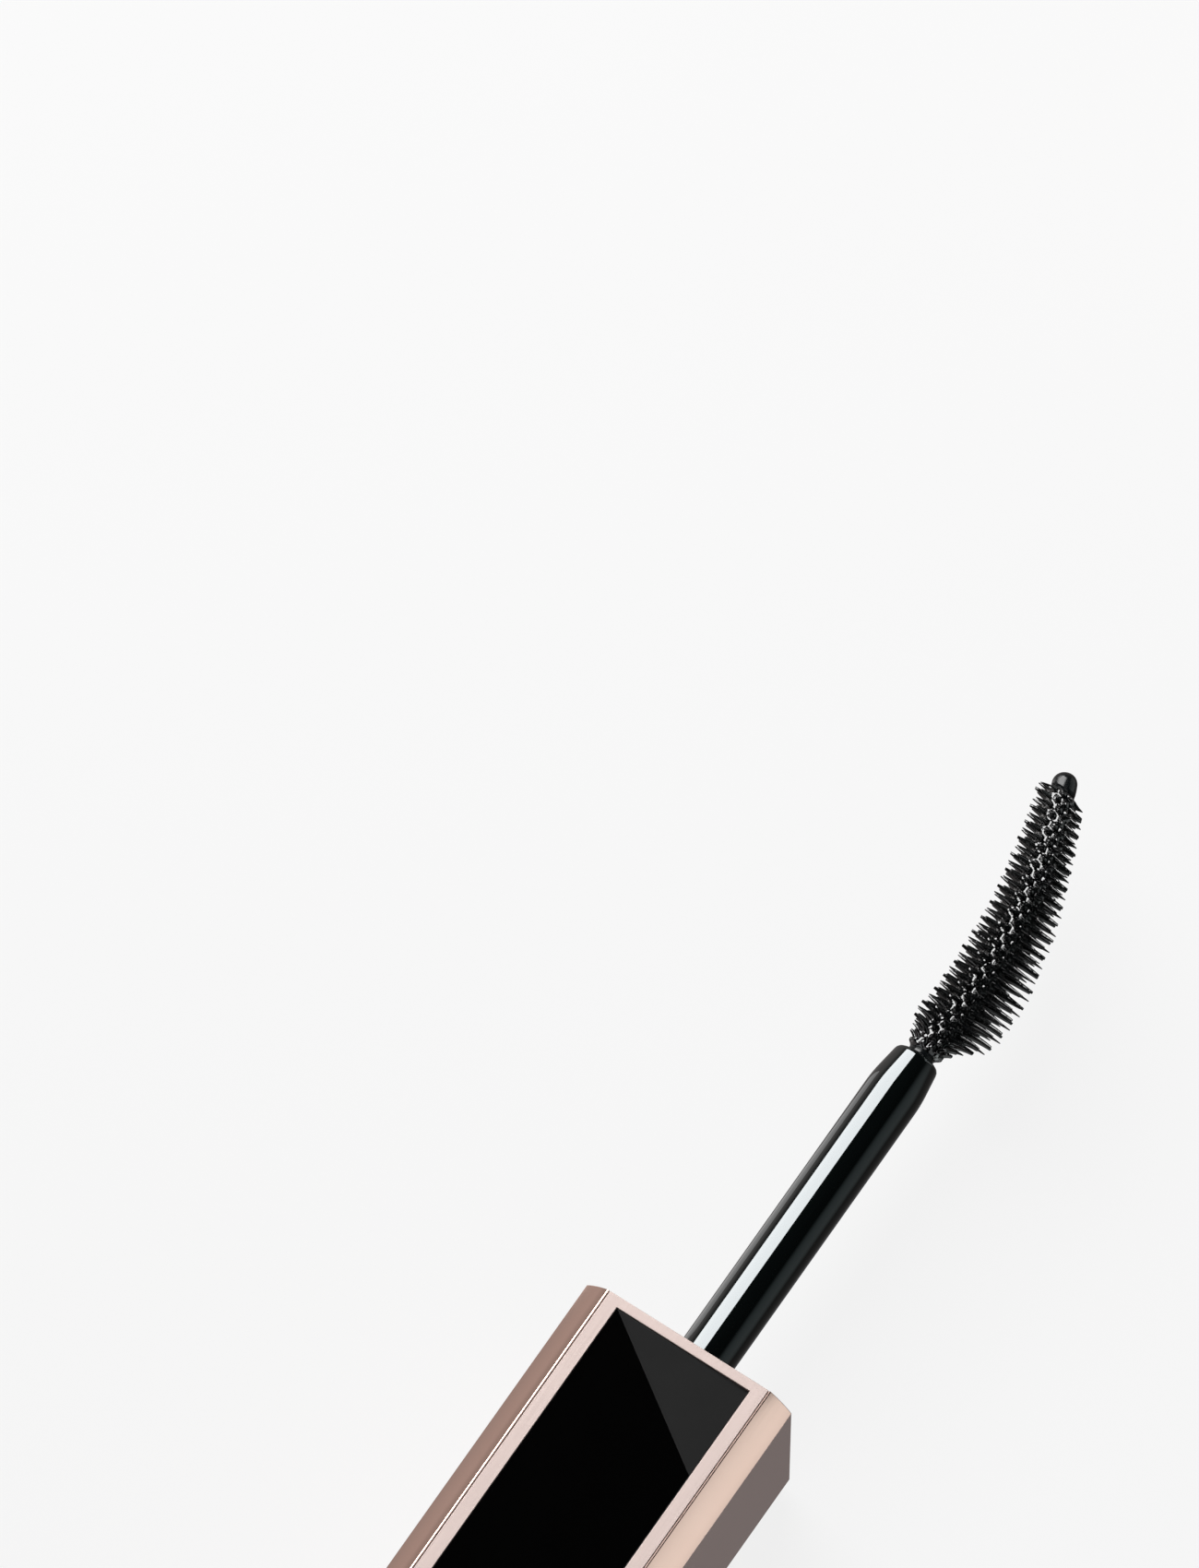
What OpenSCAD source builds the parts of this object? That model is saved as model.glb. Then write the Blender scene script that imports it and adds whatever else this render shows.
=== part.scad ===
// Mascara with a square, chamfered case. The cap carries a stem and a curved moulded brush.
// The case lies on its back on the XY plane, with the wand drawn straight out of the bottle.
// Each half is modelled along its own Z axis, which points from the cap towards the bottle's base:
// Z = 0 is the cap's mouth for the wand, and the shoulder that the cap closes on for the bottle.
// The front of each half is local +Y. Units are millimetres.

/* [Case] */
// Width and depth of the square case
case_w = 20; // [19.5:0.1:21]
// Leg of the bevel along each long edge
bevel_leg = 2.05; // [1.6:0.05:2.4]
// How far each bevel bulges past its flat chord
bevel_bulge = 0.15; // [0.05:0.05:0.25]
// Wall of the outer sleeves
sleeve_wall = 1.4; // [1.3:0.05:1.5]
// Length of the cap
cap_len = 50; // [46:1:60]
// Length of the bottle below its shoulder
bottle_len = 74; // [74:1:84]

/* [Face panels] */
// Width of the metal face plates
plate_w = 15.5; // [15:0.1:15.6]
// Thickness of the face plates and windows
plate_t = 0.8; // [0.7:0.05:0.9]
// Width of the black windows
window_w = 13; // [12:0.1:13.4]
// Plate left between a window and the joint of cap and bottle
window_edge = 0.9; // [0.8:0.1:2]
// Plate left between a window and the far end of its half
window_end = 1.5; // [1:0.1:3]
// How far down the window's side the bright facet runs
facet_run = 8.8; // [6:0.1:12]
// How far the facet's outer corner lies below the window's face
facet_drop = 0.3; // [0.1:0.05:0.4]

/* [Neck and wiper] */
// Outer radius of the bottle's neck
neck_r = 6.6; // [6.5:0.05:6.65]
// Radius of the neck's bore
neck_bore_r = 5.3; // [5.25:0.05:5.4]
// Height of the neck above the shoulder
neck_len = 15; // [15:0.5:16]
// Pitch of the closure's thread
pitch = 3; // [2.8:0.1:3.2]
// Radius of the wiper's opening
wiper_r = 2.5; // [2.5:0.02:2.56]

/* [Wand] */
// Diameter of the stem
stem_d = 4.9; // [4.7:0.05:4.9]
// How far the stem stands out of the cap's mouth
stem_reach = 33.9; // [32:0.1:35]
// Distance from the stem's end to the brush's tip, along the stem
brush_len = 27.6; // [26:0.1:28]
// Lean of the brush where it leaves the stem, in degrees
lean_start = 9.5; // [8:0.5:12]
// Lean of the brush at its tip, in degrees, to the other side
lean_end = 24.5; // [20:0.5:25]
// Slant of the rings of spikes, in degrees
spike_slant = 16; // [0:1:18]
// Number of spikes in one ring round the brush
spikes_per_ring = 11; // [9:1:12]
// Number of rings of spikes
spike_rings = 34; // [28:1:35]

/* [Layout] */
// How far the wand is drawn out of the bottle
drawn_out = 112; // [105:1:130]
// Gap between the cap and the shoulder when the wand is back in
closed_gap = 0.15; // [0.1:0.05:0.2]

/* [Hidden] */
$fn = 64;
fit_gap = 0.05;
half_w = case_w / 2;
cavity_w = case_w - 2 * sleeve_wall;
cavity_bevel = 1.2;
total_len = cap_len + drawn_out + closed_gap + bottle_len;
mouth_x = cap_len - total_len / 2;
shoulder_x = mouth_x + drawn_out + closed_gap;

// Inner cap: a threaded chamber for the neck, and a socket behind it for the stem
chamber_r = neck_r + 0.95;
chamber_len = neck_len + 1.5;
liner_r = cavity_w / 2 - 0.1;
liner_floor = 1.5;
socket_r = 3.05;
socket_len = 11;
socket_boss_r = 5;
flange_t = 1.4;

// Thread ridges: the neck's stands out, the inner cap's stands in, half a pitch along
ridge_h = 0.75;
ridge_root_w = 1.3;
ridge_crest_w = 0.8;
ridge_sink = 0.15;

// Vial inside the bottle's sleeve
vial_r = 8.2;
vial_inner_r = 7;
vial_top = 1.8;
vial_roof = 1.5;
vial_base_z = 66;
vial_floor = 1.5;

// Stem
stem_r = stem_d / 2;
stem_tip_r = 2;
stem_taper = 3.2;
stem_flange_r = 4.3;
stem_flange_t = 0.8;
stem_head_r = 3;
plug_r = 1.25;
plug_len = 6;

// Brush
core_r = 0.75;
sleeve_r = 1.35;
nub_r = 1.02;
nub_len = 1.65;
spike_share_s = 0.6;
spike_share_a = 0.9;
spike_fan = 0.9;

// ---- placing ----

// Lays a half on its back: its Z runs along the row's X, and its front faces up
module lay(x) { translate([x, 0, half_w]) rotate([90, 0, 90]) children(); }
module on_wand() { lay(mouth_x) children(); }
module on_bottle() { lay(shoulder_x) children(); }
// The back of a half is its front turned half way round the axis
module as_back() { rotate([0, 0, 180]) children(); }

// ---- shapes that repeat ----

// One corner's bevel, bulging as a parabola between its two edges, for the quadrant turned by turn
function bevel_points(w, leg, bulge, turn, steps = 6) = [
    for (i = [0:steps])
        let (t = i / steps, lift = bulge * 4 * t * (1 - t) / sqrt(2),
             x = w / 2 - leg * t + lift, y = w / 2 - leg * (1 - t) + lift)
        [x * cos(turn) - y * sin(turn), x * sin(turn) + y * cos(turn)]
];
function case_points(w, leg, bulge) = [
    for (turn = [0:90:270]) each bevel_points(w, leg, bulge, turn)
];

module case_outline() { polygon(case_points(case_w, bevel_leg, bevel_bulge)); }
module cavity_outline(gap = 0) { polygon(case_points(cavity_w - 2 * gap, cavity_bevel, 0)); }

// Open tube of the case's section, with a shallow seat along the front and the back for the plates
module case_sleeve(length) {
    seat_w = plate_w + 2 * fit_gap;
    linear_extrude(length) difference() {
        case_outline();
        cavity_outline();
        for (side = [-1, 1])
            translate([-seat_w / 2, side > 0 ? half_w - plate_t : -half_w - 1])
                square([seat_w, plate_t + 1]);
    }
}

// Face plate from z = 0, with a hole for its window
module face_plate(length) {
    difference() {
        translate([-plate_w / 2, half_w - plate_t + 0.01, 0]) cube([plate_w, plate_t - 0.01, length]);
        translate([-window_w / 2, half_w - plate_t - 1, window_edge])
            cube([window_w, plate_t + 2, length - window_edge - window_end]);
    }
}

// Window from z = 0 to length: flat, but for a facet that falls away to the corner at -X, z = 0
module face_window(length) {
    w = window_w - 2 * fit_gap;
    z0 = window_edge + fit_gap;
    z1 = length - window_end - fit_gap;
    top = half_w;
    under = half_w - plate_t + 0.01;
    drop = facet_drop;
    polyhedron(
        points = [
            [w / 2, under, z0], [-w / 2, under, z0], [-w / 2, under, z1], [w / 2, under, z1],
            [w / 2, top, z0], [-w / 2, top - drop, z0], [-w / 2, top, z0 + facet_run],
            [-w / 2, top, z1], [w / 2, top, z1],
        ],
        faces = [
            [0, 1, 2, 3], [4, 6, 5], [4, 8, 7, 6], [0, 4, 5, 1], [1, 5, 6], [1, 6, 7, 2],
            [2, 7, 8, 3], [3, 8, 4, 0],
        ]
    );
}

// Plate that closes the end of a sleeve, from z = 0 up
module end_plate(thickness, bore_r = 0) {
    linear_extrude(thickness) difference() {
        cavity_outline(fit_gap);
        if (bore_r > 0) circle(bore_r);
    }
}

// Helical ridge in three vented lengths a turn: a trapezoid that fades into the wall at both ends
module thread_ridge(root_r, crest_r, z_start, turns) {
    for (k = [0:round(3 * turns) - 1])
        translate([0, 0, z_start + pitch * k / 3]) rotate([0, 0, 120 * k + 6])
            ridge_length(root_r, crest_r, 108);
}

module ridge_length(root_r, crest_r, sweep) {
    n = 9;
    out = sign(crest_r - root_r);
    hidden_r = root_r - out * ridge_sink;
    function fade(i) = min(1, i / 2, (n - i) / 2);
    function ring(i) =
        let (a = sweep * i / n, z = pitch * a / 360,
             r = root_r + (crest_r - root_r) * fade(i) - out * ridge_sink / 3,
             root = ridge_root_w / 2, crest = ridge_crest_w / 2)
        [for (p = [[hidden_r, -root], [r, -crest], [r, crest], [hidden_r, root]])
            [p[0] * cos(a), p[0] * sin(a), z + p[1]]];
    points = [for (i = [0:n]) each ring(i)];
    side = [for (i = [0:n - 1], k = [0:3])
        let (a = 4 * i + k, b = 4 * i + (k + 1) % 4) each [[a, b, b + 4], [a, b + 4, a + 4]]];
    ends = [[3, 2, 1, 0], [for (k = [0:3]) 4 * n + k]];
    faces = concat(side, ends);
    // An inward ridge turns the trapezoid over, so its faces are listed the other way round
    polyhedron(points, out < 0 ? [for (f = faces) [for (k = [len(f) - 1:-1:0]) f[k]]] : faces);
}

// ---- the brush's line ----

// An arc from the stem's end, leaning one way at the start and the other at the tip
arc_angle = lean_start + lean_end;
arc_r = brush_len / (sin(lean_start) + sin(lean_end));
function lean(s) = lean_start - arc_angle * s;
function line_x(s) = arc_r * (cos(lean(s)) - cos(lean_start));
function line_z(s) = stem_reach + arc_r * (sin(lean_start) - sin(lean(s)));
function ramp(s, from, to) = max(0, min(1, (s - from) / (to - from)));

// The rings of spikes stand square to the stem, as they leave the mould, and so does the rod between
// them. Only the rounded end turns with the line.
nub_s = 1 - nub_len / brush_len;
function tilt(s) = lean(s) * ramp(s, nub_s, nub_s + 0.02);

// Mirrored in X so that the brush bends towards +X and bulges towards -X
module brush_side() { mirror([1, 0, 0]) children(); }
// Closed tube along the line: list of [share, outer radius], then the same way back for a bore
module line_tube(stations, sides) {
    n = len(stations);
    points = [for (st = stations, k = [0:sides - 1])
        let (s = st[0], r = st[1], a = 360 * k / sides, x = r * cos(a), t = tilt(s))
        [line_x(s) + x * cos(t), r * sin(a), line_z(s) - x * sin(t)]];
    side = [for (i = [0:n - 2], k = [0:sides - 1])
        let (a = sides * i + k, b = sides * i + (k + 1) % sides)
        each [[a, a + sides, b + sides], [a, b + sides, b]]];
    ends = [[for (k = [0:sides - 1]) k], [for (k = [sides - 1:-1:0]) sides * (n - 1) + k]];
    polyhedron(points, concat(side, ends), convexity = 6);
}

// Reach of the spikes past the line's centre: short at both ends, and longest on the outer side
function spike_reach(s, a) =
    let (rise = 2 + 1.65 * ramp(s, 0.03, 0.125), fall = 1 - 0.42 * ramp(s, 0.3, 1) ^ 1.2,
         outer = 0.65 * ramp(s, 0.07, 0.13) * (1 - 1.2 * ramp(s, 0.3, 0.75)))
    rise * fall + outer * cos(a);
// How far a spike's tip stands ahead of its root. The first rings fan out towards the brush's end,
// and every ring is slanted: its spikes on the front lean back, and those on the back lean ahead.
function spike_lead(s, a) = spike_fan * (1 - ramp(s, 0, 0.28)) ^ 2
    - (spike_reach(s, a) - sleeve_r) * tan(spike_slant) * sin(a);

// Tube along the line from share s0 to s1, with a bore and a chequerboard of pointed spikes.
// Each ring of cells has spikes on every other cell, and the next ring on the cells between.
module spiked_tube(s0, s1, bore_r) {
    rows = spike_rings;
    sides = 2 * spikes_per_ring;
    step = (s1 - s0) / rows;
    turn = 360 / sides;
    cells = [for (i = [0:rows - 1], k = [0:sides - 1]) if ((i + k) % 2 == 0) [i, k]];
    grid = (rows + 1) * sides;
    function at(s, a, r, ahead = 0) = [line_x(s) + r * cos(a), r * sin(a), line_z(s) + ahead];
    function corner(i, k) = i * sides + k % sides;
    function wall(r) = [for (i = [0:rows], k = [0:sides - 1]) at(s0 + step * i, turn * k, r)];
    function spike(i, k) =
        let (s = s0 + step * (i + 0.5), a = turn * (k + 0.5))
        concat(
            [for (c = [[-1, -1], [-1, 1], [1, 1], [1, -1]])
                at(s + c[0] * step * spike_share_s / 2, a + c[1] * turn * spike_share_a / 2, sleeve_r)],
            [at(s, a, spike_reach(s, a), spike_lead(s, a))]
        );
    // Corners of a cell in order, and the faces between them and the spike's root and tip
    function cell(i, k) = [corner(i, k), corner(i, k + 1), corner(i + 1, k + 1), corner(i + 1, k)];
    function spiked(c, first) = [
        for (j = [0:3]) let (n = (j + 1) % 4)
            each [[c[n], c[j], first + j, first + n], [first + n, first + j, first + 4]]
    ];
    plain = [
        for (i = [0:rows - 1], k = [0:sides - 1]) if ((i + k) % 2 == 1)
            let (c = cell(i, k)) [c[3], c[2], c[1], c[0]]
    ];
    bore = [for (i = [0:rows - 1], k = [0:sides - 1]) [for (c = cell(i, k)) c + grid]];
    ends = [
        for (k = [0:sides - 1])
            let (a = corner(0, k), b = corner(0, k + 1), c = corner(rows, k + 1), d = corner(rows, k))
            each [[a, b, b + grid, a + grid], [c, d, d + grid, c + grid]]
    ];
    spikes = [for (n = [0:len(cells) - 1])
        each spiked(cell(cells[n][0], cells[n][1]), 2 * grid + 5 * n)];
    polyhedron(
        points = concat(wall(sleeve_r), wall(bore_r), [for (c = cells) each spike(c[0], c[1])]),
        faces = concat(plain, bore, ends, spikes),
        convexity = 10
    );
}

// ---- the cap and what is fixed in it ----

module cap_sleeve() { color("rosybrown") on_wand() translate([0, 0, -cap_len]) case_sleeve(cap_len); }

// The cap's plates and windows run back from the mouth, so they are mirrored in Z
module cap_face() { on_wand() mirror([0, 0, 1]) children(); }
module cap_front_plate() { color("mistyrose") cap_face() face_plate(cap_len); }
module cap_back_plate() { color("mistyrose") cap_face() as_back() face_plate(cap_len); }
module cap_front_window() { color("black") cap_face() face_window(cap_len); }
module cap_back_window() { color("black") cap_face() as_back() face_window(cap_len); }

module cap_top_plate() {
    color("mistyrose") on_wand() translate([0, 0, -cap_len]) end_plate(1.8);
}

module inner_cap() {
    color("dimgray") on_wand() {
        difference() {
            union() {
                translate([0, 0, -chamber_len - liner_floor])
                    cylinder(h = chamber_len + liner_floor - 0.1, r = liner_r);
                translate([0, 0, -0.1 - flange_t]) end_plate(flange_t);
                translate([0, 0, -chamber_len - socket_len - 1])
                    cylinder(h = socket_len, r = socket_boss_r);
            }
            translate([0, 0, -chamber_len]) cylinder(h = chamber_len + 1, r = chamber_r);
            translate([0, 0, -chamber_len - socket_len]) cylinder(h = socket_len + 1, r = socket_r);
        }
        thread_ridge(chamber_r, neck_r + 0.35, -12.4 + pitch / 2, 2);
    }
}

module sealing_washer() {
    color("gainsboro") on_wand() translate([0, 0, -chamber_len]) difference() {
        cylinder(h = 0.85, r = chamber_r - 0.5);
        translate([0, 0, -1]) cylinder(h = 3, r = stem_flange_r + 0.1);
    }
}

// Shaft with a head in the inner cap's socket, a flange on its floor and a tapered end for the brush
module stem() {
    seat = -chamber_len;
    head_end = seat - socket_len + 0.5;
    color("black") on_wand() rotate_extrude() polygon([
        [0, head_end], [stem_head_r - 0.6, head_end], [stem_head_r, head_end + 0.8],
        [stem_head_r, seat], [stem_flange_r, seat], [stem_flange_r, seat + stem_flange_t],
        [stem_r, seat + stem_flange_t], [stem_r, stem_reach - stem_taper],
        [stem_tip_r + 0.02, stem_reach - 0.4], [stem_tip_r - 0.12, stem_reach - 0.1],
        [stem_tip_r - 0.35, stem_reach], [plug_r, stem_reach], [plug_r, stem_reach - plug_len],
        [0, stem_reach - plug_len],
    ]);
}

// Plug in the stem's end, a thin rod along the line, and a rounded nub that stops the bristle sleeve
module brush_core() {
    plug = plug_r - 0.02;
    collar = 0.018;
    color("black") on_wand() {
        translate([0, 0, stem_reach - plug_len + 0.1]) cylinder(h = plug_len - 0.1, r = plug);
        brush_side() line_tube(concat(
            [[0, plug * 0.96], [collar * 0.6, 1.3], [collar, 1.3], [collar + 0.002, core_r]],
            [for (i = [1:18]) [collar + (nub_s - collar) * i / 18 - (i == 18 ? 0.001 : 0), core_r]],
            [[nub_s, nub_r]],
            [for (i = [1:7]) let (a = 90 * i / 7.4)
                [nub_s + (1 - nub_s) * (0.45 + 0.55 * sin(a)), nub_r * cos(a) + 0.02]]
        ), 16);
    }
}

// Soft sleeve on the rod, with rings of spikes, each ring turned half a space from the last
module brush_bristles() {
    first = 0.024;
    last = nub_s - 0.1 / brush_len;
    color("black") on_wand() brush_side() spiked_tube(first, last, core_r + 0.05);
}

// ---- the bottle and what is fixed in it ----

module bottle_sleeve() { color("rosybrown") on_bottle() case_sleeve(bottle_len); }
module bottle_front_plate() { color("mistyrose") on_bottle() face_plate(bottle_len); }
module bottle_back_plate() { color("mistyrose") on_bottle() as_back() face_plate(bottle_len); }
module bottle_front_window() { color("black") on_bottle() face_window(bottle_len); }
module bottle_back_window() { color("black") on_bottle() as_back() face_window(bottle_len); }

module shoulder_collar() {
    color("mistyrose") on_bottle() translate([0, 0, 0.1]) end_plate(1.6, neck_r + 0.1);
}

// Round vial with a threaded neck
module vial() {
    roof = vial_top + vial_roof;
    inner_floor = vial_base_z - vial_floor;
    color("white") on_bottle() {
        rotate_extrude() polygon([
            [neck_bore_r, -neck_len], [neck_r, -neck_len], [neck_r, vial_top], [vial_r, vial_top],
            [vial_r, vial_base_z], [0, vial_base_z], [0, inner_floor], [vial_inner_r, inner_floor],
            [vial_inner_r, roof + 1.2], [neck_bore_r, roof],
        ]);
        thread_ridge(neck_r, neck_r + ridge_h, -12.4, 2.5);
    }
}

// Flange on the neck's rim, a sleeve in the bore, and a cone down to the opening that wipes the stem
module wiper() {
    sleeve_out = neck_bore_r - 0.03;
    sleeve_in = neck_bore_r - 0.75;
    color("dimgray") on_bottle() rotate_extrude() polygon([
        [sleeve_in, -neck_len - 0.7], [neck_r - 0.3, -neck_len - 0.7], [neck_r - 0.3, -neck_len],
        [sleeve_out, -neck_len], [sleeve_out, -7.6], [sleeve_out - 0.4, -7], [wiper_r + 0.7, -2.6],
        [wiper_r + 0.5, -1.8], [wiper_r, -1.8], [wiper_r, -3], [sleeve_in, -8],
    ]);
}

// Plug that closes the bottle's base and holds the vial up against the collar
module base_plug() {
    plate = 1.8;
    color("dimgray") on_bottle() difference() {
        union() {
            translate([0, 0, bottle_len - plate]) end_plate(plate);
            translate([0, 0, vial_base_z + 0.05])
                cylinder(h = bottle_len - plate - vial_base_z, r = vial_r);
        }
        translate([0, 0, vial_base_z - 1])
            cylinder(h = bottle_len - plate - vial_base_z + 1, r = vial_inner_r);
    }
}

// What is left of the paste after the brush has cleared a channel through it
module mascara_paste() {
    out = vial_inner_r - fit_gap;
    channel = neck_bore_r + 0.1;
    floor_z = vial_base_z - vial_floor - fit_gap;
    color("black") on_bottle() rotate_extrude() polygon([
        [channel, 20], [out - 0.3, 18.5], [out, 18.5], [out, floor_z], [0, floor_z],
        [0, floor_z - 1.6], [channel, floor_z - 1.6],
    ]);
}

cap_sleeve();
cap_front_plate();
cap_back_plate();
cap_front_window();
cap_back_window();
cap_top_plate();
inner_cap();
sealing_washer();
stem();
brush_core();
brush_bristles();
bottle_sleeve();
bottle_front_plate();
bottle_back_plate();
bottle_front_window();
bottle_back_window();
shoulder_collar();
vial();
wiper();
base_plug();
mascara_paste();
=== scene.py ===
# %% [markdown]
# # A mascara, wand drawn out
# The bottle and the wand lie on their backs on a pale table: a square bevelled cap with a black
# window in its face, a glossy stem, and a soft moulded brush that is wet with mascara. The bottle
# waits in line behind the brush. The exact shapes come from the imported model, and this script gives
# them their looks: softened edges, finishes, and a brush with its film of product.

# %% Load the frame
import random
from math import ceil, cos, floor, hypot, pi, radians, sin, tan

import bmesh
import bpy
from mathutils import Matrix, Vector


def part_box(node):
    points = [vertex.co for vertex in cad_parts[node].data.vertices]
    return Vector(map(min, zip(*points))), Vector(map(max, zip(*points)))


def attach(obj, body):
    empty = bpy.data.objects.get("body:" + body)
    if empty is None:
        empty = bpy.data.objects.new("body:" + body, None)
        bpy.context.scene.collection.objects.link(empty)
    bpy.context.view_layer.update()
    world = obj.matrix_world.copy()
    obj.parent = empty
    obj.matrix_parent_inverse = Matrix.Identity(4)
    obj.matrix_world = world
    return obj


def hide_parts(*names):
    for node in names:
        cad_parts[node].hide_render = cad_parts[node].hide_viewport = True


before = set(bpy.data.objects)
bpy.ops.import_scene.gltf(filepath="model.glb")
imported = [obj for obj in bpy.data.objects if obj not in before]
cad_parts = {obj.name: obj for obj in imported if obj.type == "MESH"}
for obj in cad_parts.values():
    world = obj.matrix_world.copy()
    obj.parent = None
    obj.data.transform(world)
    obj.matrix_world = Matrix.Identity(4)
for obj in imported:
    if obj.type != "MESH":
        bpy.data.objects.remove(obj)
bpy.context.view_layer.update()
MM = 0.001

cap_low, cap_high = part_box("cap_sleeve")
MOUTH_X = cap_high[0]
AXIS_Z = (cap_low[2] + cap_high[2]) / 2
HALF = (cap_high[2] - cap_low[2]) / 2
print("cap's mouth at x =", round(MOUTH_X / MM, 3), "mm, axis at z =", round(AXIS_Z / MM, 3), "mm")


# %% [markdown]
# ## The table and the light
# A product like this is shot on a bright table from above, with everything dark around it except
# one long soft box. Gloss shows only what it mirrors, so the lights are placed by where each
# surface sends the eye: the soft box along the left makes the stem's white band, the window
# mirrors an unlit ceiling and stays black, and white cards low on the right fill the right bevels.
# The table glows a little by itself, so that its tone stays even, and gloss looks through it, so
# a card can stand below its level.

# %% Helpers for node materials
def new_material(name):
    material = bpy.data.materials.new(name)
    material.use_nodes = True
    tree = material.node_tree
    return material, tree, tree.nodes["Principled BSDF"]


def add_node(tree, kind, inputs=None, **settings):
    node = tree.nodes.new(kind)
    for key, value in settings.items():
        setattr(node, key, value)
    for key, value in (inputs or {}).items():
        if isinstance(value, bpy.types.NodeSocket):
            tree.links.new(value, node.inputs[key])
        else:
            node.inputs[key].default_value = value
    return node


def set_inputs(shader, values):
    for key, value in values.items():
        shader.inputs[key].default_value = value


# %% Table
def make_table():
    bm = bmesh.new()
    bmesh.ops.create_grid(bm, x_segments=1, y_segments=1, size=6)
    mesh = bpy.data.meshes.new("table")
    bm.to_mesh(mesh)
    bm.free()
    table = bpy.data.objects.new("table", mesh)
    bpy.context.scene.collection.objects.link(table)
    material, tree, shader = new_material("pale_table")
    noise = add_node(tree, "ShaderNodeTexNoise", {"Scale": 90.0, "Detail": 3.0})
    tone = add_node(tree, "ShaderNodeMapRange", {
        "Value": noise.outputs["Fac"], "To Min": 0.050, "To Max": 0.056})
    tree.links.new(tone.outputs["Result"], shader.inputs["Base Color"])
    set_inputs(shader, {"Roughness": 0.9, "Specular IOR Level": 0.0,
                        "Emission Color": (0.908, 0.908, 0.908, 1), "Emission Strength": 0.925})
    mesh.materials.append(material)
    table.visible_glossy = False
    return table


make_table()
print("table made")


# %% Area lights
def area_light(name, centre, target, along, size, radiance, colour=(1, 1, 1)):
    """A rectangle that faces target, its width along the given direction, as bright as radiance."""
    light = bpy.data.lights.new(name, "AREA")
    light.shape = "RECTANGLE"
    light.size, light.size_y = size
    light.energy = radiance * pi * size[0] * size[1]
    light.color = colour
    lamp = bpy.data.objects.new(name, light)
    back = (Vector(centre) - Vector(target)).normalized()
    side = (Vector(along) - back * back.dot(Vector(along))).normalized()
    turn = Matrix((side, back.cross(side), back)).transposed().to_4x4()
    lamp.matrix_world = Matrix.Translation(centre) @ turn
    lamp.visible_camera = False
    bpy.context.scene.collection.objects.link(lamp)
    return lamp


def across(distance, zenith):
    """A point beside the axis: zenith is in degrees from straight up, towards +Y."""
    return Vector((0, distance * sin(radians(zenith)), AXIS_Z + distance * cos(radians(zenith))))


# %% Soft box and cards
BOX_AWAY, BOX_X, BOX_LENGTH = 0.5, 0.20, 0.48  # in metres
near, far = across(BOX_AWAY, 13.5), across(BOX_AWAY, 66)
box_centre = (near + far) / 2 + Vector((BOX_X, 0, 0))
ALONG_CASE, CARD_WHITE = (1, 0, 0), (0.93, 1, 1)
area_light("soft_box", box_centre, (BOX_X, 0, AXIS_Z), ALONG_CASE,
           (BOX_LENGTH, (far - near).length), 10.3)
for name, x, y, z, size, radiance, colour in (
        ("low_card", -0.125, -0.06, 0.021, (0.15, 0.082), 0.68, CARD_WHITE),
        ("bottle_card", 0.108, -0.06, 0.021, (0.15, 0.082), 0.68, CARD_WHITE),
        ("edge_card", -0.12, -0.06, -0.06, (0.15, 0.06), 1.4, CARD_WHITE),
        ("stem_card", -0.009, 0.12, -0.07, (0.038, 0.13), 0.85, (1, 1, 1))):
    area_light(name, (x, y, z), (x, 0, z), ALONG_CASE, size, radiance, colour)
area_light("overhead", (-0.55, -0.25, 0.75), (-0.06, 0, 0), (0, 1, 0), (0.5, 0.5), 1.2)
for light in bpy.data.lights:
    print(light.name, round(light.energy, 3), "W")

# %% [markdown]
# ## The room
# What the lights leave out, the gloss mirrors from the room: pale below the horizon, as over a
# bright table, and dark towards the ceiling. It is lighter on the left, and a faint glow on the
# right keeps that side of the stem from going quite black.

# %% Room
world = bpy.data.worlds.new("room")
bpy.context.scene.world = world
world.use_nodes = True
sky = world.node_tree
direction = add_node(sky, "ShaderNodeTexCoord")
split = add_node(sky, "ShaderNodeSeparateXYZ", {"Vector": direction.outputs["Generated"]})
height = add_node(sky, "ShaderNodeMapRange", {
    "Value": split.outputs["Z"], "From Min": -1.0, "From Max": 1.0})
band = add_node(sky, "ShaderNodeValToRGB", {"Fac": height.outputs["Result"]})
ramp = band.color_ramp
ramp.elements[0].position, ramp.elements[0].color = 0.0, (0.27, 0.275, 0.29, 1)
ramp.elements[1].position, ramp.elements[1].color = 0.8, (0, 0, 0, 1)
for place, grey in ((0.12, 0.24), (0.3, 0.27), (0.5, 0.29), (0.6, 0.15), (0.7, 0.03)):
    stop = ramp.elements.new(place)
    stop.color = (grey, grey * 0.92, grey * 0.89, 1)
lean_left = add_node(sky, "ShaderNodeMapRange", {
    "Value": split.outputs["Y"], "From Min": -1.0, "From Max": 1.0, "To Min": 0.2, "To Max": 1.45})
RIGHT_AND_LOW = (0.289, -0.94, 0.17)
towards_right = add_node(sky, "ShaderNodeVectorMath", {
    0: direction.outputs["Generated"], 1: RIGHT_AND_LOW}, operation="DOT_PRODUCT")
glow = add_node(sky, "ShaderNodeMapRange", {
    "Value": towards_right.outputs["Value"], "From Min": 0.86, "From Max": 1.0, "To Max": 0.25},
    interpolation_type="SMOOTHSTEP")
background = sky.nodes["Background"]
sky.links.new(band.outputs["Color"], background.inputs["Color"])
sky.links.new(lean_left.outputs["Result"], background.inputs["Strength"])
right_glow = add_node(sky, "ShaderNodeBackground", {
    "Color": (0.85, 1, 1, 1), "Strength": glow.outputs["Result"]})
both = add_node(sky, "ShaderNodeAddShader", {0: background.outputs[0], 1: right_glow.outputs[0]})
sky.links.new(both.outputs[0], sky.nodes["World Output"].inputs["Surface"])
print("room made with", len(ramp.elements), "tones from floor to ceiling")

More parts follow.
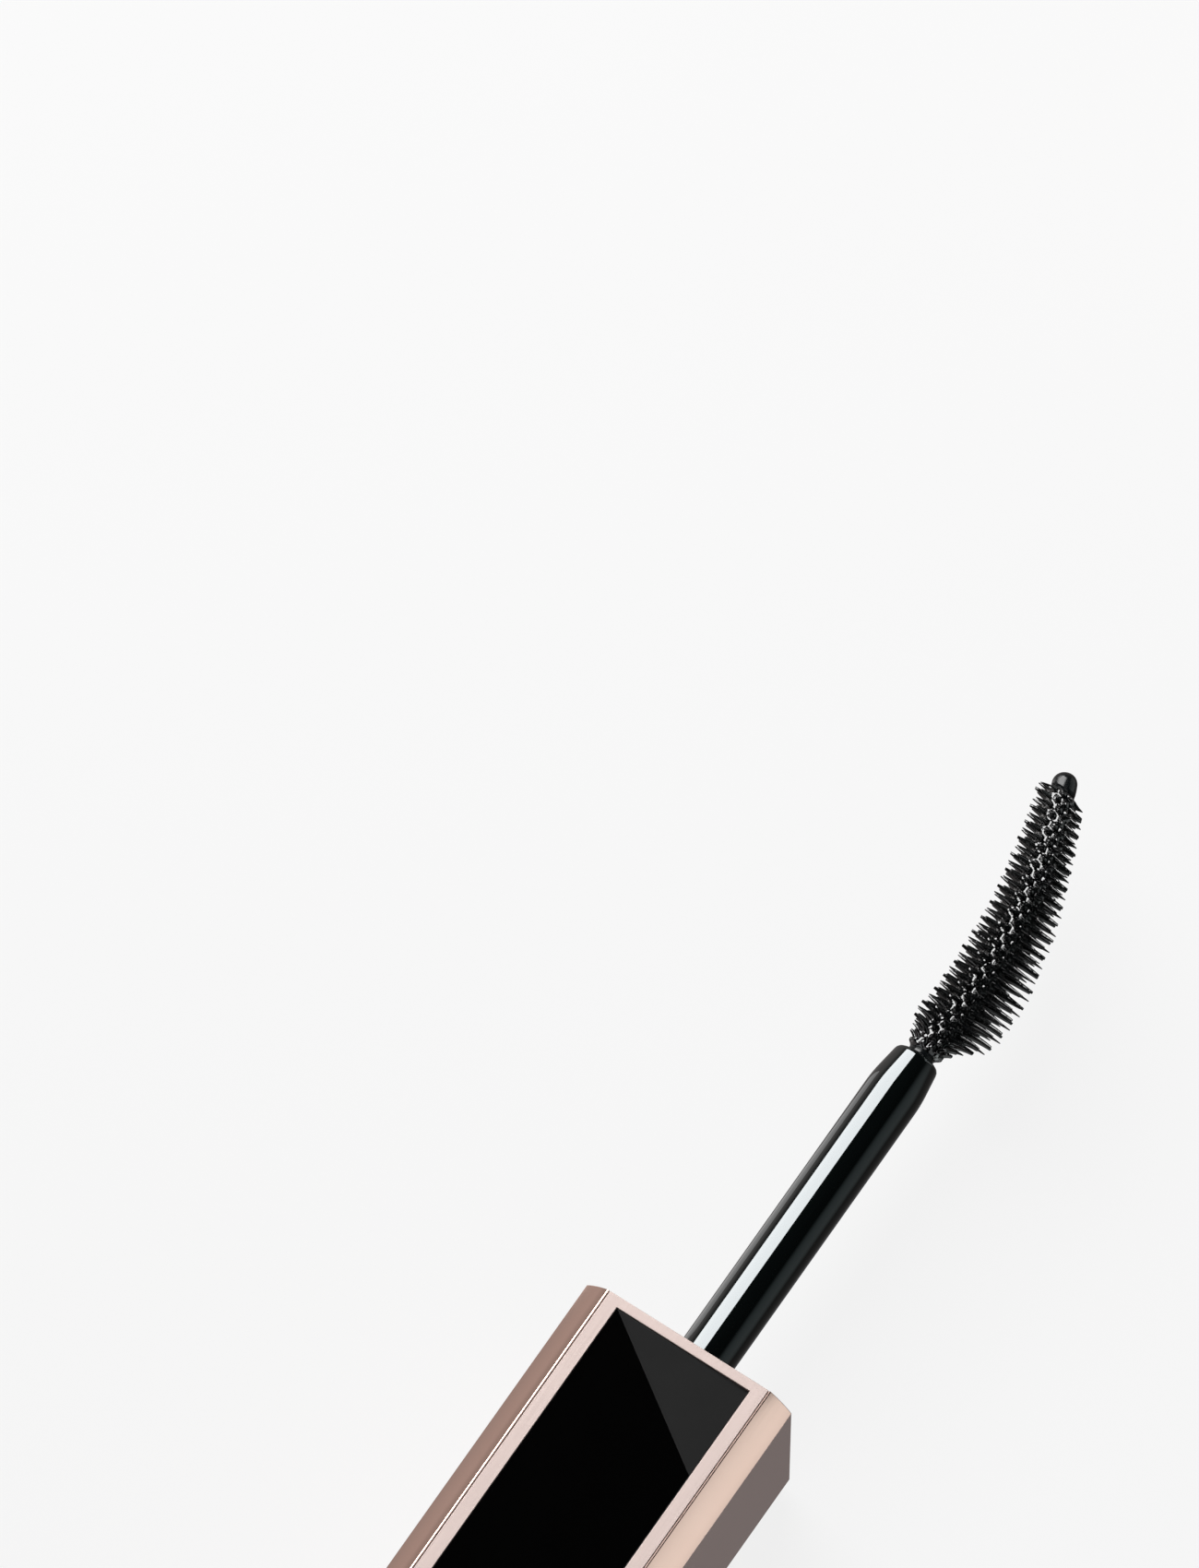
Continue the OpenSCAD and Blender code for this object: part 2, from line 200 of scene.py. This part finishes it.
# %% [markdown]
# ## The camera
# The view is nearly parallel, as from a long lens far away, so parallel edges stay parallel. It
# looks down on the case, a little from the cap's end and a little from its right, and is turned
# about its own axis so that the wand climbs to the right.

# %% Camera
ROLL, SIDE_TURN, TIP = radians(35.5), radians(11.6), radians(17.3)
FRAME_HEIGHT = 128.3 * MM  # what the frame takes in from bottom to top, at the stem
across_axis = Vector((0, -cos(SIDE_TURN), -sin(SIDE_TURN)))
along_axis = Vector((cos(TIP), -sin(TIP) * sin(SIDE_TURN), sin(TIP) * cos(SIDE_TURN)))
to_camera = across_axis.cross(along_axis)
camera_right = cos(ROLL) * across_axis + sin(ROLL) * along_axis
camera_up = -sin(ROLL) * across_axis + cos(ROLL) * along_axis
MIDDLE_PAST_MOUTH, MIDDLE_RIGHT, MIDDLE_DOWN = 30 * MM, 23.9 * MM, 25.49 * MM
middle = Vector((MOUTH_X + MIDDLE_PAST_MOUTH, 0, AXIS_Z))
aim = middle - camera_right * MIDDLE_RIGHT + camera_up * MIDDLE_DOWN
DISTANCE, SENSOR = 3.2, 36
lens = bpy.data.cameras.new("camera")
lens.sensor_width = SENSOR
lens.lens = SENSOR * DISTANCE / FRAME_HEIGHT
lens.clip_start, lens.clip_end = 0.05, 20
camera = bpy.data.objects.new("camera", lens)
camera.matrix_world = Matrix.Translation(aim + to_camera * DISTANCE) @ Matrix(
    (camera_right, camera_up, to_camera)).transposed().to_4x4()
bpy.context.scene.collection.objects.link(camera)
bpy.context.scene.camera = camera
bpy.context.scene.view_settings.view_transform = "Standard"
print("camera looks from", [round(c, 3) for c in to_camera], "lens", round(lens.lens, 1), "mm")


# %% [markdown]
# ## Rose gold
# The sleeve is aluminium that was polished and anodised in rose gold, so its colour is the
# reflection's tint. Real anodised metal is never perfect: faint drawing lines run along the
# profile, and its gloss varies a little. Both come from noise that is stretched along the case.
# The frames are blasted to a satin, and the narrow ledge that a frame sits beside is left matt,
# which draws a thin brown line between the pale frame and the bright bevel.

# %% Rose gold finishes
def stretched_noise(tree, scale, detail=4.0):
    coords = add_node(tree, "ShaderNodeTexCoord")
    mapping = add_node(tree, "ShaderNodeMapping", {"Vector": coords.outputs["Object"], "Scale": scale})
    return add_node(tree, "ShaderNodeTexNoise", {
        "Vector": mapping.outputs["Vector"], "Scale": 1.0, "Detail": detail, "Roughness": 0.6})


def metal(name, colour, darker, metallic, roughness, bump):
    material, tree, shader = new_material(name)
    grain = stretched_noise(tree, (120.0, 9000.0, 9000.0))
    cloud = stretched_noise(tree, (160.0, 160.0, 160.0), 3.0)
    tint = add_node(tree, "ShaderNodeMix", {"Factor": cloud.outputs["Fac"], "A": darker, "B": colour},
                    data_type="RGBA")
    gloss = add_node(tree, "ShaderNodeMapRange", {
        "Value": grain.outputs["Fac"], "From Min": 0.3, "From Max": 0.7,
        "To Min": roughness * 0.85, "To Max": roughness * 1.2})
    relief = add_node(tree, "ShaderNodeBump", {
        "Height": grain.outputs["Fac"], "Strength": bump, "Distance": 0.00002})
    tree.links.new(tint.outputs["Result"], shader.inputs["Base Color"])
    tree.links.new(gloss.outputs["Result"], shader.inputs["Roughness"])
    tree.links.new(relief.outputs["Normal"], shader.inputs["Normal"])
    set_inputs(shader, {"Metallic": metallic})
    return material


polished = metal("polished_rose_gold", (0.88, 0.62, 0.53, 1), (0.84, 0.58, 0.49, 1), 1.0, 0.13, 0.04)
satin = metal("satin_rose_gold", (0.43, 0.348, 0.322, 1), (0.415, 0.333, 0.308, 1), 0.25, 0.55, 0.2)
matt = metal("matt_rose_gold", (0.35, 0.24, 0.205, 1), (0.30, 0.2, 0.17, 1), 0.25, 0.6, 0.2)


# %% [markdown]
# ## Softened copies of the exact parts
# Machined and moulded parts have no knife edges: each corner is broken by a tenth of a millimetre
# or two, and that narrow round is what catches the light and draws the object's lines. The exact
# model leaves them out, so a copy of each outer part gets them here. The copy's triangles are
# merged into whole faces, the sharp edges are found by their angle, and they get a round bevel.

# %% Copy, merge and bevel
BEVEL_LEG, SEAT_DEPTH = 2.06 * MM, 1.2 * MM


def finish_mesh(bm, name, body, materials, replaces=(), smooth_angle=35, flats=False):
    bmesh.ops.recalc_face_normals(bm, faces=bm.faces)
    mesh = bpy.data.meshes.new(name)
    bm.to_mesh(mesh)
    bm.free()
    for material in materials:
        mesh.materials.append(material)
    piece = bpy.data.objects.new(name, mesh)
    bpy.context.scene.collection.objects.link(piece)
    mesh.shade_smooth()
    mesh.set_sharp_from_angle(angle=radians(smooth_angle))
    if flats:
        even = piece.modifiers.new("flat_faces_stay_flat", "WEIGHTED_NORMAL")
        even.mode, even.keep_sharp = "FACE_AREA", True
        even.weight = 100  # the largest face rules
    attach(piece, body)
    if replaces:
        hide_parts(*replaces)
    return piece


def merged_copy(node):
    bm = bmesh.new()
    bm.from_mesh(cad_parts[node].data)
    bmesh.ops.remove_doubles(bm, verts=bm.verts, dist=0.002 * MM)
    bmesh.ops.dissolve_limit(bm, angle_limit=radians(0.3), verts=bm.verts, edges=bm.edges)
    return bm


def sharp_edges(bm, angle=30, where=lambda edge: True):
    return [e for e in bm.edges if len(e.link_faces) == 2
            and e.calc_face_angle(0) > radians(angle) and where(e)]


def softened(node, body, material, width, segments=3, angle=30, ledge=None):
    bm = merged_copy(node)
    edges = sharp_edges(bm, angle)
    bmesh.ops.bevel(bm, geom=edges, offset=width * MM, offset_type="OFFSET", segments=segments,
                    profile=0.5, affect="EDGES", material=-1, clamp_overlap=True)
    for face in bm.faces if ledge else ():  # the seat of a frame and the ledge beside it
        centre = face.calc_center_median()
        in_seat = abs(centre.y) < HALF - BEVEL_LEG and abs(centre.z - AXIS_Z) > HALF - SEAT_DEPTH
        face.material_index = int(in_seat and abs(face.normal.x) < 0.5)  # not the ends
    materials = [material, ledge] if ledge else [material]
    piece = finish_mesh(bm, "soft_" + node, body, materials, [node], flats=True)
    print(piece.name, len(edges), "edges softened,", len(piece.data.polygons), "faces")
    return piece


for half, body in (("cap", "wand"), ("bottle", "bottle")):
    softened(half + "_sleeve", body, polished, 0.06, ledge=matt)
    for side in ("front", "back"):
        softened(f"{half}_{side}_plate", body, satin, 0.06)

# %% [markdown]
# ## The black windows
# Each window is a slab of black plastic, polished on its face, with one large facet that falls
# away to a corner. The facet mirrors another part of the room than the flat does, and so it
# looks grey beside black. Its base colour is also made a touch lighter, as a painted reflection
# that keeps the facet grey, so the crease still reads when the light changes.

# %% Windows
def gloss_black(name, base, roughness, specular=0.5):
    material, tree, shader = new_material(name)
    mist = stretched_noise(tree, (300.0, 300.0, 300.0), 3.0)
    gloss = add_node(tree, "ShaderNodeMapRange", {
        "Value": mist.outputs["Fac"], "To Min": roughness * 0.7, "To Max": roughness * 1.3})
    tone = add_node(tree, "ShaderNodeMix", {
        "Factor": mist.outputs["Fac"], "A": (*base, 1), "B": (*[c * 1.15 for c in base], 1)},
        data_type="RGBA")
    tree.links.new(tone.outputs["Result"], shader.inputs["Base Color"])
    tree.links.new(gloss.outputs["Result"], shader.inputs["Roughness"])
    set_inputs(shader, {"Specular IOR Level": specular})
    return material


window_black = gloss_black("window_black", (0.0006, 0.0006, 0.0006), 0.03, 0.4)
# the facet's base colour is lighter than the flat's: a painted reflection that keeps it grey
window_facet_painted_reflection = gloss_black("window_facet_painted_reflection", (0.014, 0.014, 0.014), 0.06, 0.4)


def window(node, body, up):
    bm = merged_copy(node)
    face_height = (AXIS_Z + up * 0.9 * HALF) * up
    top = [e for e in sharp_edges(bm, 30) if all(v.co.z * up > face_height for v in e.verts)]
    bmesh.ops.bevel(bm, geom=top, offset=0.02 * MM, offset_type="OFFSET", segments=1,
                    profile=0.5, affect="EDGES", material=-1, clamp_overlap=True)
    bm.normal_update()
    for face in bm.faces:
        tilt = Vector((0, 0, up)).angle(face.normal)
        face.material_index = int(radians(1) < tilt < radians(8))  # only the facet leans that little
    piece = finish_mesh(bm, "soft_" + node, body, [window_black, window_facet_painted_reflection], [node], smooth_angle=3)
    print(piece.name, len(top), "edges softened")


for half, body in (("cap", "wand"), ("bottle", "bottle")):
    window(half + "_front_window", body, 1)
    window(half + "_back_window", body, -1)

# %% [markdown]
# ## Ends and hidden plastics
# The plates on the ends, the base plug and the collar are the same satin metal. The inner cap and the
# vial are moulded plastics, with the fine orange-peel grain that a spark-eroded mould leaves. The wiper
# is a soft, milky plastic that lets some light in.

# %% Ends and inner parts
def moulded(name, colour, roughness, scale, strength, subsurface=0.0):
    material, tree, shader = new_material(name)
    grain = stretched_noise(tree, (scale, scale, scale), 5.0)
    mottle = stretched_noise(tree, (250.0, 250.0, 250.0), 3.0)
    tone = add_node(tree, "ShaderNodeMix", {
        "Factor": mottle.outputs["Fac"], "A": (*[c * 0.85 for c in colour], 1), "B": (*colour, 1)},
        data_type="RGBA")
    gloss = add_node(tree, "ShaderNodeMapRange", {
        "Value": mottle.outputs["Fac"], "To Min": roughness * 0.85, "To Max": roughness * 1.15})
    relief = add_node(tree, "ShaderNodeBump", {
        "Height": grain.outputs["Fac"], "Strength": strength, "Distance": 0.00003})
    tree.links.new(tone.outputs["Result"], shader.inputs["Base Color"])
    tree.links.new(gloss.outputs["Result"], shader.inputs["Roughness"])
    tree.links.new(relief.outputs["Normal"], shader.inputs["Normal"])
    if subsurface:
        set_inputs(shader, {"Subsurface Weight": subsurface, "Subsurface Scale": 0.001})
    return material


dark_plastic = moulded("dark_moulded_plastic", (0.022, 0.021, 0.021), 0.38, 4000.0, 0.25)
vial_plastic = moulded("vial_plastic", (0.018, 0.017, 0.017), 0.22, 3000.0, 0.12)
milky_plastic = moulded("milky_soft_plastic", (0.62, 0.61, 0.58), 0.42, 2500.0, 0.2, 0.3)
foam = moulded("washer_foam", (0.72, 0.71, 0.68), 0.8, 9000.0, 0.8)
paste_black = moulded("mascara_paste", (0.004, 0.004, 0.0045), 0.16, 900.0, 0.7)


def dress(node, material):
    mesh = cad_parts[node].data
    mesh.materials.clear()
    mesh.materials.append(material)


softened("cap_top_plate", "wand", satin, 0.15)
softened("shoulder_collar", "bottle", satin, 0.1)
softened("base_plug", "bottle", satin, 0.15)
for node, material in (("inner_cap", dark_plastic), ("vial", vial_plastic), ("wiper", milky_plastic),
                       ("sealing_washer", foam), ("mascara_paste", paste_black)):
    dress(node, material)
    print(node, "is", material.name)

# %% [markdown]
# ## The stem
# The stem is a moulded rod of black plastic that is polished until it mirrors. It narrows over
# its last few millimetres and ends in a small rounded rim round the brush's root. A profile that
# is spun about the axis gives an exact round, and spin makes the mirror band run straight.

# %% Spin a profile about the wand's axis
def spun(profile, steps=96):
    """profile: (distance from the mouth, radius) in mm. Ends on the axis are closed by merging."""
    bm = bmesh.new()
    verts = [bm.verts.new((MOUTH_X + x * MM, 0, AXIS_Z + r * MM)) for x, r in profile]
    edges = [bm.edges.new(pair) for pair in zip(verts, verts[1:])]
    bmesh.ops.spin(bm, geom=verts + edges, cent=(0, 0, AXIS_Z), axis=(1, 0, 0), angle=2 * pi,
                   steps=steps, use_merge=True, use_duplicate=False)
    bmesh.ops.remove_doubles(bm, verts=bm.verts, dist=0.001 * MM)
    return bm


def rounded(corner, before, after, radius, steps=4):
    """Points of a small arc in place of a profile's corner."""
    c, a, b = Vector(corner), Vector(before), Vector(after)
    start, end = c + (a - c).normalized() * radius, c + (b - c).normalized() * radius
    return [tuple((1 - t) ** 2 * start + 2 * t * (1 - t) * c + t * t * end)
            for t in (i / steps for i in range(steps + 1))]


STEM_END = (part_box("stem")[1][0] - MOUTH_X) / MM
STEM_BACK = (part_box("stem")[0][0] - MOUTH_X) / MM
STEM_R, TIP_R, TAPER = 2.45, 2.0, 3.2
head = [(STEM_BACK, 0), (STEM_BACK, 2.3), (STEM_BACK + 0.8, 2.98), (-16.55, 2.98), (-16.5, 4.3),
        (-15.75, 4.3), (-15.7, STEM_R)]
shoulder = rounded((STEM_END - TAPER, STEM_R), (STEM_END - TAPER - 4, STEM_R),
                   (STEM_END - 0.3, TIP_R + 0.04), 0.9)
rim = rounded((STEM_END, TIP_R), (STEM_END - 3, TIP_R + 0.4), (STEM_END, 1.3), 0.45)
mouth_of_bore = rounded((STEM_END, 1.3), (STEM_END, 2.0), (STEM_END - 2, 1.3), 0.12)
bore = [(STEM_END - 2.5, 1.3), (STEM_END - 2.5, 0)]
bm = spun(head + shoulder + rim + mouth_of_bore + bore)
print("stem's profile spun into", len(bm.faces), "faces")

# %% [markdown]
# ## The stem's black
# Polished black plastic is nearly all reflection, so its own colour is close to nothing. A very
# faint wave along the moulding bends the mirror band a little, and keeps it from looking drawn.

# %% Stem finish
stem_black, tree, shader = new_material("stem_black")
sheen = stretched_noise(tree, (90.0, 1500.0, 1500.0), 4.0)
gloss = add_node(tree, "ShaderNodeMapRange", {
    "Value": sheen.outputs["Fac"], "To Min": 0.03, "To Max": 0.07})
wave = add_node(tree, "ShaderNodeBump", {
    "Height": sheen.outputs["Fac"], "Strength": 0.012, "Distance": 0.00003})
tone = add_node(tree, "ShaderNodeMix", {
    "Factor": sheen.outputs["Fac"], "A": (0.001, 0.0014, 0.0014, 1), "B": (0.002, 0.003, 0.003, 1)},
    data_type="RGBA")
tree.links.new(tone.outputs["Result"], shader.inputs["Base Color"])
tree.links.new(gloss.outputs["Result"], shader.inputs["Roughness"])
tree.links.new(wave.outputs["Normal"], shader.inputs["Normal"])
set_inputs(shader, {"Specular IOR Level": 1.0, "Specular Tint": (0.93, 0.98, 1.0, 1)})
stem = finish_mesh(bm, "gloss_stem", "wand", [stem_black], ["stem"], smooth_angle=50)
print("stem ends", round(STEM_END, 2), "mm past the mouth;", len(stem.data.polygons), "faces")

# %% [markdown]
# ## The brush's line
# The brush follows an arc that leaves the stem leaning one way and ends leaning the other. Its
# rings of spikes stay square to the stem all along the arc, because they are pulled out of the
# mould in one direction. So everything is made straight and then each slice is slid sideways onto
# the arc, and only the rounded end is turned to follow it.

# %% Slide onto the arc
LEAN_START, LEAN_END, BRUSH = radians(9.5), radians(24.5), 27.6
ARC_R = BRUSH / (sin(LEAN_START) + sin(LEAN_END))
NUB_LEN = 1.65
NUB_START = 1 - NUB_LEN / BRUSH


def ramp_between(value, start, end):
    return max(0.0, min(1.0, (value - start) / (end - start)))


def bend(bm):
    """Straight: X is mm from the stem's end and -Y the outer side. Bent: metres, in its place."""
    for v in bm.verts:
        x, y, z = v.co
        lean = LEAN_START - (LEAN_START + LEAN_END) * max(0, x) / BRUSH
        side = ARC_R * (cos(lean) - cos(LEAN_START))
        out = STEM_END + min(0, x) + ARC_R * (sin(LEAN_START) - sin(lean))
        turn = lean * ramp_between(x / BRUSH, NUB_START, NUB_START + 0.02)
        v.co = (MOUTH_X + (out + y * sin(turn)) * MM, (-side + y * cos(turn)) * MM, AXIS_Z + z * MM)


# %% [markdown]
# ## Core and rounded end
# A rod of hard plastic runs through the brush. What shows of it is a smooth round end that keeps
# the tip from scratching.

# %% Core
NUB_R = 1.1


def core_mesh():
    bm = bmesh.new()
    nub_x = BRUSH - NUB_LEN
    profile = [(-2.4, 0), (-2.4, 1.22), (0.2, 1.22), (0.5, 1.2), (0.7, 0.9),
               (nub_x - 0.6, 0.9), (nub_x - 0.1, 1.0)]
    profile += [(nub_x + i * 0.2, NUB_R * (1 - 0.003 * i * i)) for i in range(4)]
    top = NUB_LEN - 0.65
    profile += [(nub_x + 0.65 + top * sin(a), 1.07 * cos(a) ** 0.9) for a in
                (radians(9 * i) for i in range(1, 10))] + [(BRUSH, 0)]
    verts = [bm.verts.new((x, 0, r)) for x, r in profile]
    edges = [bm.edges.new(pair) for pair in zip(verts, verts[1:])]
    bmesh.ops.spin(bm, geom=verts + edges, cent=(0, 0, 0), axis=(1, 0, 0), angle=2 * pi,
                   steps=48, use_merge=True, use_duplicate=False)
    bmesh.ops.remove_doubles(bm, verts=bm.verts, dist=0.001)
    long_edges = [e for e in bm.edges if abs(e.verts[0].co.x - e.verts[1].co.x) > 10]
    bmesh.ops.subdivide_edges(bm, edges=long_edges, cuts=30, use_grid_fill=True)
    bend(bm)
    return bm


# %% [markdown]
# ## Wet with mascara
# A film of mascara lies over the whole brush. It pools, so its surface has soft lumps and cells,
# and it dries unevenly, so its gloss varies. On the smooth end the film is drawn out in streaks.

# %% Wet finish
def wet(name, base, roughness, film_scale, film, streaks=False, specular=0.6):
    """Plastic under a film of mascara: pools and ridges as relief, and a gloss that varies."""
    material, tree, shader = new_material(name)
    coords = add_node(tree, "ShaderNodeTexCoord")
    scale = (260.0, 1500.0, 1500.0) if streaks else (1000.0,) * 3
    mapping = add_node(tree, "ShaderNodeMapping", {"Vector": coords.outputs["Object"], "Scale": scale})
    lumps = add_node(tree, "ShaderNodeTexNoise", {
        "Vector": mapping.outputs["Vector"], "Scale": film_scale, "Detail": 5.0, "Roughness": 0.62})
    cells = add_node(tree, "ShaderNodeTexVoronoi", {
        "Vector": mapping.outputs["Vector"], "Scale": film_scale * 1.4}, feature="SMOOTH_F1")
    both = add_node(tree, "ShaderNodeMath", {
        0: lumps.outputs["Fac"], 1: cells.outputs["Distance"]}, operation="ADD")
    relief = add_node(tree, "ShaderNodeBump", {
        "Height": both.outputs["Value"], "Strength": film, "Distance": 0.00012})
    gloss = add_node(tree, "ShaderNodeMapRange", {
        "Value": lumps.outputs["Fac"], "From Min": 0.35, "From Max": 0.65,
        "To Min": roughness * 0.5, "To Max": roughness * 1.8})
    tone = add_node(tree, "ShaderNodeMix", {
        "Factor": lumps.outputs["Fac"], "A": (*[c * 0.6 for c in base], 1), "B": (*base, 1)},
        data_type="RGBA")
    tree.links.new(tone.outputs["Result"], shader.inputs["Base Color"])
    tree.links.new(gloss.outputs["Result"], shader.inputs["Roughness"])
    tree.links.new(relief.outputs["Normal"], shader.inputs["Normal"])
    set_inputs(shader, {"Specular IOR Level": specular})
    return material


core_black = wet("wet_core", (0.003, 0.004, 0.0045), 0.17, 1.0, 0.35, streaks=True, specular=0.35)
core = finish_mesh(core_mesh(), "brush_core_wet", "wand", [core_black], ["brush_core"], smooth_angle=60)
print("core", len(core.data.polygons), "faces")

# %% [markdown]
# ## The wet bristle sleeve
# Rings of soft spikes stand on a thin elastomer sleeve, each ring turned half a space from the
# last, so each spike has six neighbours. Mascara rounds off the foot of every spike and leaves a
# web of narrow valleys between them, and each valley's floor is a thin bright line where it faces
# the light. A sheet is rolled into the sleeve and raised by the distance to the nearest valley.
# Then each spike is one cone, drawn out in rings.

# %% Lattice of spikes
SLEEVE_R, RINGS, PER_RING = 1.35, 34, 11
FIRST, LAST = 0.024, NUB_START - 0.1 / BRUSH
STEP = (LAST - FIRST) / RINGS
TURN = pi / PER_RING
STEP_MM, TURN_MM = STEP * BRUSH, TURN * 1.45
TWIST, SLANT = radians(2.2), radians(17.3)
dice = random.Random(7)
nudge = {(i, k): (dice.uniform(-1, 1), dice.uniform(-1, 1), dice.random())
         for i in range(RINGS) for k in range(i % 2, 2 * PER_RING, 2)}


def spike_reach(share, angle):
    rise = 2 + 1.65 * ramp_between(share, 0.03, 0.125)
    fall = 1 - 0.42 * ramp_between(share, 0.3, 1) ** 1.2
    outer = 0.65 * ramp_between(share, 0.07, 0.13) * (1 - 1.2 * ramp_between(share, 0.3, 0.75))
    return rise * fall + outer * cos(angle)


def film_height(share, angle):
    """Height of the film over the sleeve in mm: low along the lines half way between two spikes."""
    p, q = (share - FIRST) / STEP - 0.5, (angle + TWIST) / TURN - 0.5
    reach = []
    for i in (floor(p), ceil(p)):
        for k in range(floor(q) - 1, floor(q) + 3):
            if (i + k) % 2 == 0:
                a, b, fill = nudge.get((i, k % (2 * PER_RING)), (0, 0, 0.5))
                reach.append((hypot((p - i) * STEP_MM - 0.05 * a, (q - k) * TURN_MM - 0.05 * b), fill))
    reach.sort()
    off_valley = (reach[1][0] - reach[0][0]) / 2
    swell = sin(2.3 * p + 1.1 * q) * sin(1.7 * q - 0.9 * p) + sin(3.1 * p - 0.7 * q + 2)
    fill = (reach[0][1] + reach[1][1]) / 2
    return 2.6 * max(0, min(off_valley, 0.3) - 0.015) ** 2 + 0.028 * swell + 0.07 * fill


# %% Sleeve, rolled from a sheet
def sleeve_mesh(along=372, around=154):
    bm = bmesh.new()
    bmesh.ops.create_grid(bm, x_segments=along, y_segments=around, size=1)
    start = FIRST - 0.01
    for v in bm.verts:
        share = start + (LAST - start) * (v.co.x + 1) / 2
        angle = pi * (v.co.y + 1)
        ends = max(0.0, min(1.0, (share - start) / 0.014, (LAST - share) / 0.014))
        r = SLEEVE_R * (0.72 + 0.28 * ends ** 0.5) + film_height(share, angle % (2 * pi)) * ends
        v.co = (share * BRUSH, -r * cos(angle), r * sin(angle))
    bmesh.ops.remove_doubles(bm, verts=bm.verts, dist=0.0005)
    return bm


def add_spike(bm, ring, k):
    share, angle = FIRST + STEP * (ring + 0.5), TURN * (k + 0.5) - TWIST
    foot = 1.1
    length = spike_reach(share, angle) * dice.uniform(0.94, 1.0) - foot
    if ring == RINGS - 1:
        length *= dice.uniform(0.6, 1.0)
    tip = 0.12 if ring % 2 == 0 else 0.045
    bmesh.ops.create_cone(bm, cap_ends=True, segments=7, radius1=0.33, radius2=tip, depth=length)
    shaft = [e for e in bm.edges if abs(e.verts[0].co.z - e.verts[1].co.z) > length / 2]
    bmesh.ops.subdivide_edges(bm, edges=shaft, cuts=4)
    fan = 1 - ramp_between(share, 0, 0.28)
    ahead = 0.9 * fan ** 2 + 0.07 * dice.uniform(-1, 1) - length * tan(SLANT) * sin(angle + 0.18)
    curl = 0.6 * fan + 0.12 * dice.uniform(-1, 1)
    sway = length * 0.06 * dice.uniform(-1, 1)
    a, b = nudge[ring, k][:2]
    for v in bm.verts:
        up = min(1.0, max(0.0, v.co.z / length + 0.5))
        lead = (ahead + curl) * up - curl * up * up
        radial, tangent = foot + up * length, v.co.y + 0.05 * b + sway * up
        v.co = (share * BRUSH + v.co.x + 0.05 * a + lead,
                -(radial * cos(angle) - tangent * sin(angle)),
                radial * sin(angle) + tangent * cos(angle))


bm = sleeve_mesh()
for ring, k in nudge:
    one = bmesh.new()
    add_spike(one, ring, k)
    one_mesh = bpy.data.meshes.new("spike")
    one.to_mesh(one_mesh)
    one.free()
    bm.from_mesh(one_mesh)
    bpy.data.meshes.remove(one_mesh)
bend(bm)
bristle_black = wet("wet_bristles", (0.0022, 0.0026, 0.0028), 0.075, 2.2, 0.12, specular=0.9)
bristles = finish_mesh(bm, "wet_bristles", "wand", [bristle_black], ["brush_bristles"], smooth_angle=75)
print(len(nudge), "spikes,", sum(len(p.vertices) - 2 for p in bristles.data.polygons), "triangles")
